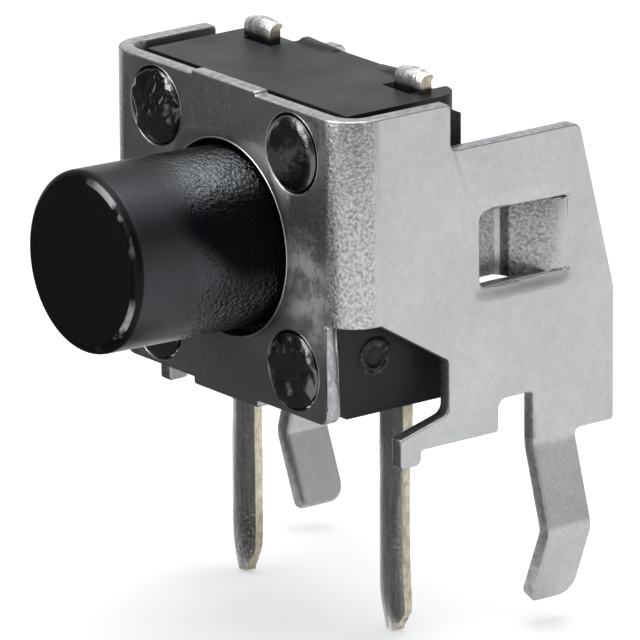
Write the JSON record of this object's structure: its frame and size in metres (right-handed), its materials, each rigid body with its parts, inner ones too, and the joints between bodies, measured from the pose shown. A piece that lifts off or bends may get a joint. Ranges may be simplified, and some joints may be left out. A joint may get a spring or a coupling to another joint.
{
  "type": "right angle tactile push button switch",
  "caption": "Right angle tactile push switch with a long round plunger, a stamped steel bracket with snap-in legs and solder leads for a circuit board.",
  "frame": {"origin": "on the circuit board's surface, midway between the two solder leads", "axes": "+Z away from the board, -Y along the plunger's outward direction, X across the two leads"},
  "size_m": [0.0082, 0.0095, 0.0107],
  "materials": {
    "tin_plated_steel": "satin tin plating, dull on the flat faces and speckled at the bends",
    "black_moulding": "fine moulded matt",
    "black_plunger": "smooth satin with a rougher band at the root",
    "spring_steel": "bright rolled",
    "plated_brass": "tin plated faces with bare cut edges"
  },
  "bodies": {
    "case": {"bracket": "tin_plated_steel", "base": "black_moulding", "snap_dome": "spring_steel", "lead_left": "plated_brass", "lead_right": "plated_brass"},
    "button": {"plunger": "black_plunger"}
  },
  "joints": [
    {"name": "plunger_press", "type": "slide", "parent": "case", "child": "button", "axis": [0, 1, 0], "range_m": [0, 0.00025], "stiffness_N_per_m": 6000, "deforming": ["snap_dome"]}
  ]
}
